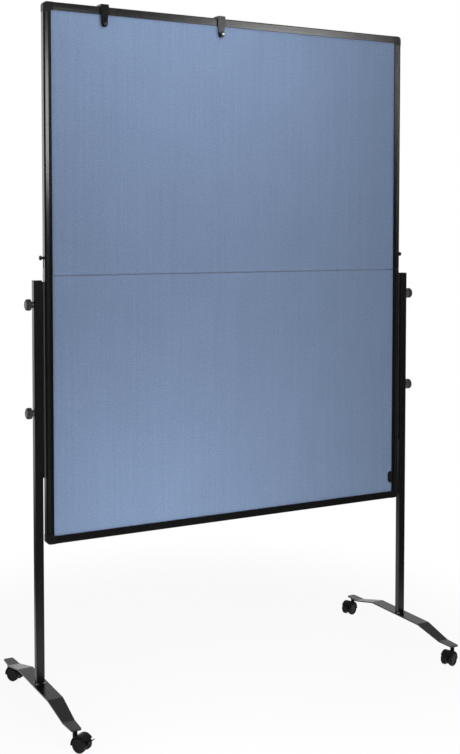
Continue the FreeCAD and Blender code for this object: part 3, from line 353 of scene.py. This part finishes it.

# %% [markdown]
# The floor is the foot of the sweep. It mixes a plain pale floor with a white glow, by the
# distance from the board: near it a share of the plain floor is left and keeps a faint shadow,
# and further off all is glow like the backdrop, so no horizon shows. For glossy rays the floor
# glows with a painted pool of light, bright near the board, then dark, then bright far away,
# so the black pieces mirror a painted reflection of a lit floor.

# %% Floor
PAINTED_POOL_CENTRE, PAINTED_POOL_REACH, FAR_REACH = (0, 0.3, 0), 1.12, 3.0
DARK_MIRROR, PAINTED_POOL_GLOW, FAR_MIRROR, NEAR_GLOW = 0.08, 0.65, 0.95, 0.92
floor_material, _, place = finish("pale floor", Base_Color=grey(0.86), Roughness=0.9)
tree = floor_material.node_tree
paths = tree.nodes.new("ShaderNodeLightPath").outputs
seen, mirrored = Wire(tree, paths["Is Camera Ray"]), Wire(tree, paths["Is Glossy Ray"])
distance = {"operation": "DISTANCE"}
away = place.node("ShaderNodeVectorMath", distance, {0: place, 1: PAINTED_POOL_CENTRE}, out="Value")
# painted pool of light: within reach of the board the floor's glow for glossy rays is brighter
painted_pool, far_off = 1 - away.above(PAINTED_POOL_REACH, 0.5), away.above(FAR_REACH, 2.2)
sweep = DARK_MIRROR + PAINTED_POOL_GLOW * painted_pool + FAR_MIRROR * far_off
glow = place.node("ShaderNodeEmission", values={"Color": seen + mirrored * sweep})
share = NEAR_GLOW + away.above(1.0, 0.8) * (1 - NEAR_GLOW)
blend = tree.nodes.new("ShaderNodeMixShader")
(seen * share + mirrored).into(blend.inputs[0])
tree.links.new(tree.nodes["Principled BSDF"].outputs[0], blend.inputs[1])
glow.into(blend.inputs[2])
tree.links.new(blend.outputs[0], tree.nodes["Material Output"].inputs["Surface"])

FLOOR_X, FLOOR_Y = (-9.0, 9.0), (-1.1, 12.0)
across, deep = np.meshgrid(FLOOR_X, FLOOR_Y, indexing="ij")
floor_points = np.stack((across, deep, np.zeros_like(across)), axis=-1)
floor = grid_object("floor", floor_points, grid_faces(2, 2)[:, ::-1], floor_material)
floor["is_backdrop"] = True
print("floor in metres:", FLOOR_X, "by", FLOOR_Y)

# %% [markdown]
# The felt is needled wool: short fibres lying every way in small tufts, with faint upright
# lines where the web was drawn through the needles. Three noises stretched along different
# directions stand for the fibres, one for the tufts, a long thin one for the lines and a broad
# one for patches. The fibres also lift the surface a little, which a bump gives. Where the two
# halves meet, a narrow band by height is darker: painted shade in the fold between the rolled
# edges.

# %% Felt finish
FOLD_HEIGHT, FOLD_BAND = joints["fold"]["pos_m"][2], 0.0016
FIBRE_LAYS = ((330, (1, 1, 4), 0.5), (330, (4, 1, 1), 0.3), (380, (1, 1, 4), -0.9))
woolly = {"Sheen_Weight": 0.25, "Sheen_Roughness": 0.6, "Specular_IOR_Level": 0.15}
felt, inputs, place = finish("needled felt", **woolly)
lays = [place.noise(scale, stretch, turn=(0, lean, 0)) for scale, stretch, lean in FIBRE_LAYS]
fibres = sum(lays[1:], lays[0]) * (1 / len(lays))
tufts = place.noise(210, detail=3.0)
draw_lines = place.noise(1.0, (330, 330, 3), detail=1.0)
patches = place.noise(7, detail=3.0)
shade = 0.5 + (fibres - 0.5) * 1.2 + (tufts - 0.5) * 1.0
shade = shade + (draw_lines - 0.5) * 0.29 + (patches - 0.5) * 0.2
wool = shade.mix(colour(0.125, 0.177, 0.280), colour(0.237, 0.332, 0.521))
# painted shade: the felt is darkened in a narrow band along the fold, where the rolled edges meet
pressed = 1 - abs(place.part("Z") - FOLD_HEIGHT).above(FOLD_BAND, FOLD_BAND)
pressed.mix(wool, colour(0.080, 0.112, 0.210)).into(inputs["Base Color"])
(0.9 + (tufts - 0.5) * 0.15).into(inputs["Roughness"])
fibres.bump(0.5, 0.0008).into(inputs["Normal"])
print("felt nodes:", len(felt.node_tree.nodes), "fold at", FOLD_HEIGHT)

# %% [markdown]
# Each panel face is one cut of felt, stretched flat over the core and tucked under the
# frame. Only its edge at the fold is free: there it rolls back round the edge of the core.
# A flat plane with a bevel would do, but a profile carried along X shows the roll better:
# a quarter round at the fold, then a straight run to the far edge.

# %% Felt sheets
ROLL_STEPS, RUN_STEPS, WIDTH_STEPS = 9, 60, 90
WAVE_HEIGHT = 1e-4


def felt_sheet(name, node, body, outward):
    """Profile carried along X: a quarter circle at the fold, then a straight run to the far edge.

    The quarter has the felt's own thickness as its radius. A broad wave of a tenth of a
    millimetre keeps the run from being a perfect plane. Laid flat, the quarter's arc takes the
    place of its radius.
    """
    low, high = (np.array(corner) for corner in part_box(node))
    thick = high[1] - low[1]
    front = low[1] if outward < 0 else high[1]
    near, far = sorted((low[2], high[2]), key=lambda height: abs(height - FOLD_HEIGHT))
    way = np.sign(far - near)
    angle = np.linspace(0, math.pi / 2, ROLL_STEPS)
    run = np.linspace(near + way * thick, far, RUN_STEPS)[1:]
    depth = np.concatenate((thick * (1 - np.sin(angle)), np.zeros_like(run)))
    height = np.concatenate((near + way * thick * (1 - np.cos(angle)), run))
    width = np.linspace(low[0], high[0], WIDTH_STEPS)
    x_grid, height_grid = np.meshgrid(width, height, indexing="ij")
    wave = np.abs(np.sin(x_grid * 9.0 + height_grid * 4.0) * np.sin(height_grid * 7.0))
    y_grid = front - outward * (depth + WAVE_HEIGHT * wave)
    points = np.stack((x_grid, y_grid, height_grid), axis=-1)
    faces = grid_faces(*x_grid.shape)
    made = piece(name, points, faces[:, ::-1] if way * outward > 0 else faces, body, felt)
    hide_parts(node)
    undressed.discard(node)


for half in ("upper", "lower"):
    for face, outward in (("front", -1), ("rear", 1)):
        felt_sheet(f"{half}_{face}_felt_sheet", f"{half}_felt_{face}", f"{half}_board", outward)

# %% [markdown]
# The frame bars are extruded and coated black. Along an extrusion run hair-fine die lines, so
# the noise is squeezed nearly a thousand to one across the bar and left long along it; the
# gloss wanders slowly. A brushed picture texture would need unwrapping, which this doesn't.
# Hands move the board by its uprights. They have polished the raised middle of the faces and,
# half as much, the flanks, while the lips stayed dull. So there the clear coat follows two
# distances: from the outer edge, and from the middle of the bar's depth.

# %% Coated bars
BLACK = grey(0.003), grey(0.008)


def coated_bar(name, stretch, **constants):
    """Satin black with die lines along the axis that the stretch leaves long."""
    material, inputs, place = finish(name, **constants)
    lines = place.noise(1.0, stretch, detail=1.0)
    cloud = place.noise(14, detail=3.0)
    tone = lines * 0.6 + cloud * 0.4
    tone.mix(*BLACK).into(inputs["Base Color"])
    (0.17 + lines * 0.08 + cloud * 0.06).into(inputs["Roughness"])
    lines.bump(0.12, 0.0002).into(inputs["Normal"])
    return material, inputs, place


bar_along, _, _ = coated_bar("coated bar along", (3, 2600, 2600), Specular_IOR_Level=0.42)
dress(bar_along, "top_rail", "bottom_rail")

RIDGE_START, RIDGE_END, FLANK_REACH, BLUR = 0.0048, 0.0135, 0.0085, 0.0012
FLANK_POLISH = 0.5
handled = {"Specular_IOR_Level": 0.15, "Coat_IOR": 1.9, "Coat_Roughness": 0.16}
bar_handled, inputs, place = coated_bar("handled upright", (2600, 2600, 3), **handled)
stile_low, stile_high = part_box("upper_right_stile")
stile_middle = (stile_low[1] + stile_high[1]) / 2
inset = stile_high[0] - abs(place.part("X"))
ridge = inset.above(RIDGE_START, BLUR) * (1 - inset.above(RIDGE_END, BLUR))
flank = 1 - abs(place.part("Y") - stile_middle).above(FLANK_REACH, BLUR / 2)
(ridge + flank * (FLANK_POLISH - ridge)).into(inputs["Coat Weight"])
dress(bar_handled, "upper_left_stile", "upper_right_stile", "lower_left_stile", "lower_right_stile")
print("nodes still plain:", len(undressed))

# %% [markdown]
# The height rails are anodised black where the nuts slide. At the foot that sits against the
# stile they are painted grey, a painted reflection standing in for the bright backdrop mirrored
# in the stile's side: the thin light line beside the left leg. Both greys share one fine grain,
# and the distance from the stile's outer face chooses between them.

# %% Height rails
RAIL_FOOT, FOOT_BLUR = 0.0036, 0.0005
foot_edge = stile_high[0] + RAIL_FOOT
rail_finish, inputs, place = finish("anodised rail", Specular_IOR_Level=0.3)
# painted reflection: the grey on the rail's foot stands in for the backdrop mirrored in the stile's
# side
foot = 1 - abs(place.part("X")).above(foot_edge, FOOT_BLUR)
fine = place.noise(900)
painted_reflection_grey = fine.mix(grey(0.070), grey(0.110))
foot.mix(fine.mix(*BLACK), painted_reflection_grey).into(inputs["Base Color"])
(0.30 + fine * 0.15).into(inputs["Roughness"])
fine.bump(0.2, 1e-4).into(inputs["Normal"])
dress(rail_finish, "left_height_rail", "right_height_rail")
print("rail feet are grey up to", round(foot_edge, 4), "from the middle")

# %% [markdown]
# Powder coat on the legs and feet is a skin of melted grains: glossy, with a fine orange
# peel. The moulded pieces are duller and have the even sparkle of an eroded mould. Both are
# the same recipe with other numbers: a fine noise for the grain, a slow one for the gloss.


# %% Powder coat and moulded plastic
def grained(name, dark, light, gloss, grain, depth=2e-4, shine=0.5, tint=(1, 1, 1)):
    """A skin between two greys, tinted, with a fine even grain and slow changes of gloss."""
    material, inputs, place = finish(name, Specular_IOR_Level=shine)
    low, high = (colour(*(level * share for share in tint)) for level in (dark, light))
    fine = place.noise(grain)
    cloud = place.noise(22, detail=4.0)
    (fine * 0.5 + cloud * 0.5).mix(low, high).into(inputs["Base Color"])
    (gloss + (cloud - 0.5) * 0.08 + (fine - 0.5) * 0.06).into(inputs["Roughness"])
    fine.bump(0.25, depth).into(inputs["Normal"])
    return material


powder = grained("powder coat", 0.003, 0.009, gloss=0.24, grain=650)
cap_plastic = grained("corner moulding", 0.004, 0.010, gloss=0.36, grain=1700, shine=0.3)
lock_plastic = grained("lock moulding", 0.008, 0.020, gloss=0.38, grain=1500)
castor_plastic = grained("castor moulding", 0.003, 0.008, gloss=0.42, grain=1600, shine=0.2)
tab_plastic = grained("tab moulding", 0.004, 0.010, gloss=0.36, grain=1800, depth=1e-4)
edge_band = grained("fold edging", 0.050, 0.075, gloss=0.70, grain=1400, tint=(1, 1.4, 2.4))

for side in ("left", "right"):
    dress(powder, f"{side}_leg_tube", f"{side}_foot")
    dress(cap_plastic, f"{side}_leg_cap", f"top_{side}_corner", f"bottom_{side}_corner")
    dress(lock_plastic, f"{side}_lock")
    dress(castor_plastic, f"{side}_front_castor_hood", f"{side}_rear_castor_hood")
dress(castor_plastic, "left_front_castor_lever", "left_rear_castor_lever")
dress(tab_plastic, "edge_tab")
dress(edge_band, "upper_fold_edge", "lower_fold_edge")
dress(powder, "upper_hinge_leaves", "lower_hinge_leaves")
print("nodes still plain:", len(undressed))

# %% [markdown]
# A hook is moulded black and rides on the top rail. Its peg takes the wear of paper pads, so
# such pegs are often a dark polished pin pressed into the moulding. A clamp knob has a grey
# moulded head on a slotted steel collar. Either node holds both materials, so a mask tells them
# apart: the pegs stand out in front of all the rest, and the heads lie furthest from the middle.


# %% Hooks with pegs and knobs with collars
def moulding_on_metal(name, metal_at, greys, metal_grey, gloss, grain, shine):
    """A moulding and its metal part in one finish; metal_at gives the mask, which is 1 on metal."""
    material, inputs, place = finish(name, Specular_IOR_Level=shine)
    metal = metal_at(place)
    fine = place.noise(grain)
    cloud = place.noise(60, detail=4.0)
    moulding = (fine * 0.5 + cloud * 0.5).mix(*(grey(level) for level in greys))
    metal.mix(moulding, grey(metal_grey)).into(inputs["Base Color"])
    metal.into(inputs["Metallic"])
    (gloss + (cloud - 0.5) * 0.12 + (fine - 0.5) * 0.06).into(inputs["Roughness"])
    fine.bump(0.2, 1e-4).into(inputs["Normal"])
    return material


PEG_LENGTH, PEG_BLUR = 0.010, 0.001
HEAD_LENGTH, HEAD_BLUR = 0.0144, 0.0004
peg_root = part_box("left_hook")[0][1] + PEG_LENGTH
head_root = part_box("right_upper_knob")[1][0] - HEAD_LENGTH
hook_finish = moulding_on_metal(
    "hook and peg", lambda place: 1 - place.part("Y").above(peg_root, PEG_BLUR),
    greys=(0.003, 0.009), metal_grey=0.15, gloss=0.20, grain=1900, shine=0.25)
knob_finish = moulding_on_metal(
    "knob and collar", lambda place: 1 - abs(place.part("X")).above(head_root, HEAD_BLUR),
    greys=(0.035, 0.055), metal_grey=0.50, gloss=0.36, grain=1500, shine=0.3)
for side in ("left", "right"):
    dress(hook_finish, f"{side}_hook")
    dress(knob_finish, f"{side}_upper_knob", f"{side}_lower_knob")
print("pegs end at depth", round(peg_root, 4))
print("collars end", round(head_root, 4), "from the middle")

# %% [markdown]
# Wheels are moulded too, with a softer tread. The tread starts at a radius, so the wheel's
# finish measures the distance from its own axle. A Mapping node of the texture kind moves the
# coordinates to the axle and turns them; leaving out the part along the axle gives the radius.

# %% Wheels
TREAD_RADIUS, TREAD_BLUR = 0.0176, 0.0006


def wheel_finish(name, centre, axle_turn):
    """Hub and tread of one wheel, split by the distance from its axle."""
    material, inputs, place = finish(name, Specular_IOR_Level=0.18)
    moved = {0: place, "Location": centre, "Rotation": (0, 0, axle_turn)}
    local = place.node("ShaderNodeMapping", {"vector_type": "TEXTURE"}, moved)
    flat = place.node("ShaderNodeVectorMath", {"operation": "MULTIPLY"}, {0: local, 1: (1, 0, 1)})
    tread = flat.length().above(TREAD_RADIUS, TREAD_BLUR)
    fine = place.noise(1500)
    rubber = fine.mix(grey(0.006), grey(0.014))
    tread.mix(fine.mix(*BLACK), rubber).into(inputs["Base Color"])
    (0.40 + tread * 0.25 + (fine - 0.5) * 0.08).into(inputs["Roughness"])
    fine.bump(0.2, 0.0002).into(inputs["Normal"])
    return material


for name, joint in joints.items():
    if name.endswith("_wheel_roll"):
        wheel = name.removesuffix("_roll")
        axis = joint["axis"]
        axle_turn = math.atan2(axis[1], axis[0]) - math.pi / 2
        dress(wheel_finish(wheel.replace("_", " "), joint["pos_m"], axle_turn), wheel)
print("nodes still plain:", len(undressed))

# %% [markdown]
# Pins, nuts, stems and axles are plain zinc-plated steel: a metal whose gloss wanders. The
# cores are pressed fibreboard. Felt, frame and edging hide them, so they matter only to someone
# who takes the board apart.

# %% Bright steel and fibreboard
steel, inputs, place = finish("zinc plate", Metallic=1.0)
cloud = place.noise(160, detail=4.0)
cloud.mix(colour(0.42, 0.42, 0.41), colour(0.60, 0.60, 0.61)).into(inputs["Base Color"])
(0.25 + cloud * 0.2).into(inputs["Roughness"])
cloud.bump(0.1, 0.0001).into(inputs["Normal"])
dress(steel, "hinge_pins")
for side in ("left", "right"):
    dress(steel, f"{side}_clamp_nuts", f"{side}_castor_stems")
    dress(steel, f"{side}_front_castor_axle", f"{side}_rear_castor_axle")

core, inputs, place = finish("pressed fibreboard")
grain = place.noise(300, (1, 1, 3), detail=4.0)
grain.mix(colour(0.30, 0.22, 0.13), colour(0.46, 0.36, 0.24)).into(inputs["Base Color"])
(0.82 + grain * 0.15).into(inputs["Roughness"])
grain.bump(0.3, 0.0003).into(inputs["Normal"])
dress(core, "upper_core", "lower_core")
print("nodes still plain:", sorted(undressed))

# %% [markdown]
# Each leg is welded to its foot. A weld is a row of small puddles laid round the tube, thick
# at the corners where the torch stopped, and its bare metal catches the light there in single
# spots. How bare the metal is comes with the points of the bead, as an attribute that the
# finish reads; a mask by place would need the four corners of each tube.

# %% Weld finish
weld, inputs, place = finish("weld")
bare = place.node("ShaderNodeAttribute", {"attribute_name": "bare"}, out="Fac")
cloud = place.noise(700, detail=3.0)
metal = cloud.mix(colour(0.60, 0.60, 0.61), grey(0.80))
bare.mix(grey(0.006), metal).into(inputs["Base Color"])
bare.into(inputs["Metallic"])
(0.22 + cloud * 0.15).into(inputs["Roughness"])
cloud.bump(0.2, 0.0002).into(inputs["Normal"])
print("weld nodes:", len(weld.node_tree.nodes))

# %% [markdown]
# The bead itself is a round section carried along the tube's outline: its radius follows a
# cosine of the length run for the puddles and swells towards the corners. A bevelled curve
# would give an even bead, without the puddles.

# %% Weld beads
OUTLINE_STEPS, PUDDLE_STEPS, RING_STEPS = 1201, 8, 12
PUDDLE_SWELL, CORNER_SWELL, CORNER_REACH = 0.2, 0.8, 0.0035


def weld_bead(name, tube, body, radius=0.0018, puddle=0.0042, corner=0.0025, squareness=9):
    """Circles carried along a rounded rectangle, the outline of the tube.

    Along the outline x and y follow the hyperbolic tangent of a cosine and of a sine, which
    flattens a circle's four sides, plus a circle of the corner's radius. The radius of the bead
    follows a cosine of the length run, one wave to a puddle, and swells as a bell curve of the
    distance to the nearest corner.
    """
    low, high = (np.array(point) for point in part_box(tube))
    middle, half = (low + high) / 2, (high - low) / 2
    angle = np.linspace(0, 2 * math.pi, OUTLINE_STEPS)
    path = np.stack((np.cos(angle), np.sin(angle)), axis=-1)
    path = (half[:2] - corner) * np.tanh(squareness * path) / math.tanh(squareness) + corner * path
    run = np.concatenate(([0], np.cumsum(np.linalg.norm(np.diff(path, axis=0), axis=1))))
    count = round(run[-1] / puddle)
    step = np.linspace(0, run[-1], count * PUDDLE_STEPS, endpoint=False)
    path = np.stack([np.interp(step, run, values) for values in path.T], axis=-1)
    along = np.roll(path, -1, axis=0) - np.roll(path, 1, axis=0)
    outward = np.stack((along[:, 1], -along[:, 0]), axis=-1)
    outward /= np.linalg.norm(outward, axis=1, keepdims=True)
    gap = np.linalg.norm(half[:2] - np.abs(path), axis=1)
    corner_share = np.exp(-((gap / CORNER_REACH) ** 2))
    wave = np.cos(step / run[-1] * count * 2 * math.pi)
    swell = radius * (1 + PUDDLE_SWELL * wave + CORNER_SWELL * corner_share)
    turn = np.linspace(0, 2 * math.pi, RING_STEPS, endpoint=False)
    points = np.empty((len(path), len(turn), 3))
    reach = swell[:, None] * np.cos(turn)
    points[..., :2] = middle[:2] + path[:, None, :] + reach[..., None] * outward[:, None, :]
    points[..., 2] = low[2] + swell[:, None] * np.sin(turn)
    faces = grid_faces(len(path), len(turn), wrap=True)
    made = piece(name, points, faces, body, weld)
    bareness = made.data.attributes.new("bare", "FLOAT", "POINT")
    bareness.data.foreach_set("value", np.repeat(corner_share, len(turn)))
    return made


for side in ("left", "right"):
    bead = weld_bead(f"{side}_weld_bead", f"{side}_leg_tube", f"{side}_leg")
    print(bead.name, "vertices", len(bead.data.vertices))

# %% [markdown] Last, the sizes: the dressed board should fill the same box as the solids,
# give or take the beads.

# %% Sizes and hand over
boxes = {"cad": cad_box, "visual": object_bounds()}
growth = np.abs(np.array(boxes["visual"]) - np.array(boxes["cad"])).max()
print("the dressed board differs from the solids by at most", round(float(growth) * 1000, 3), "mm")
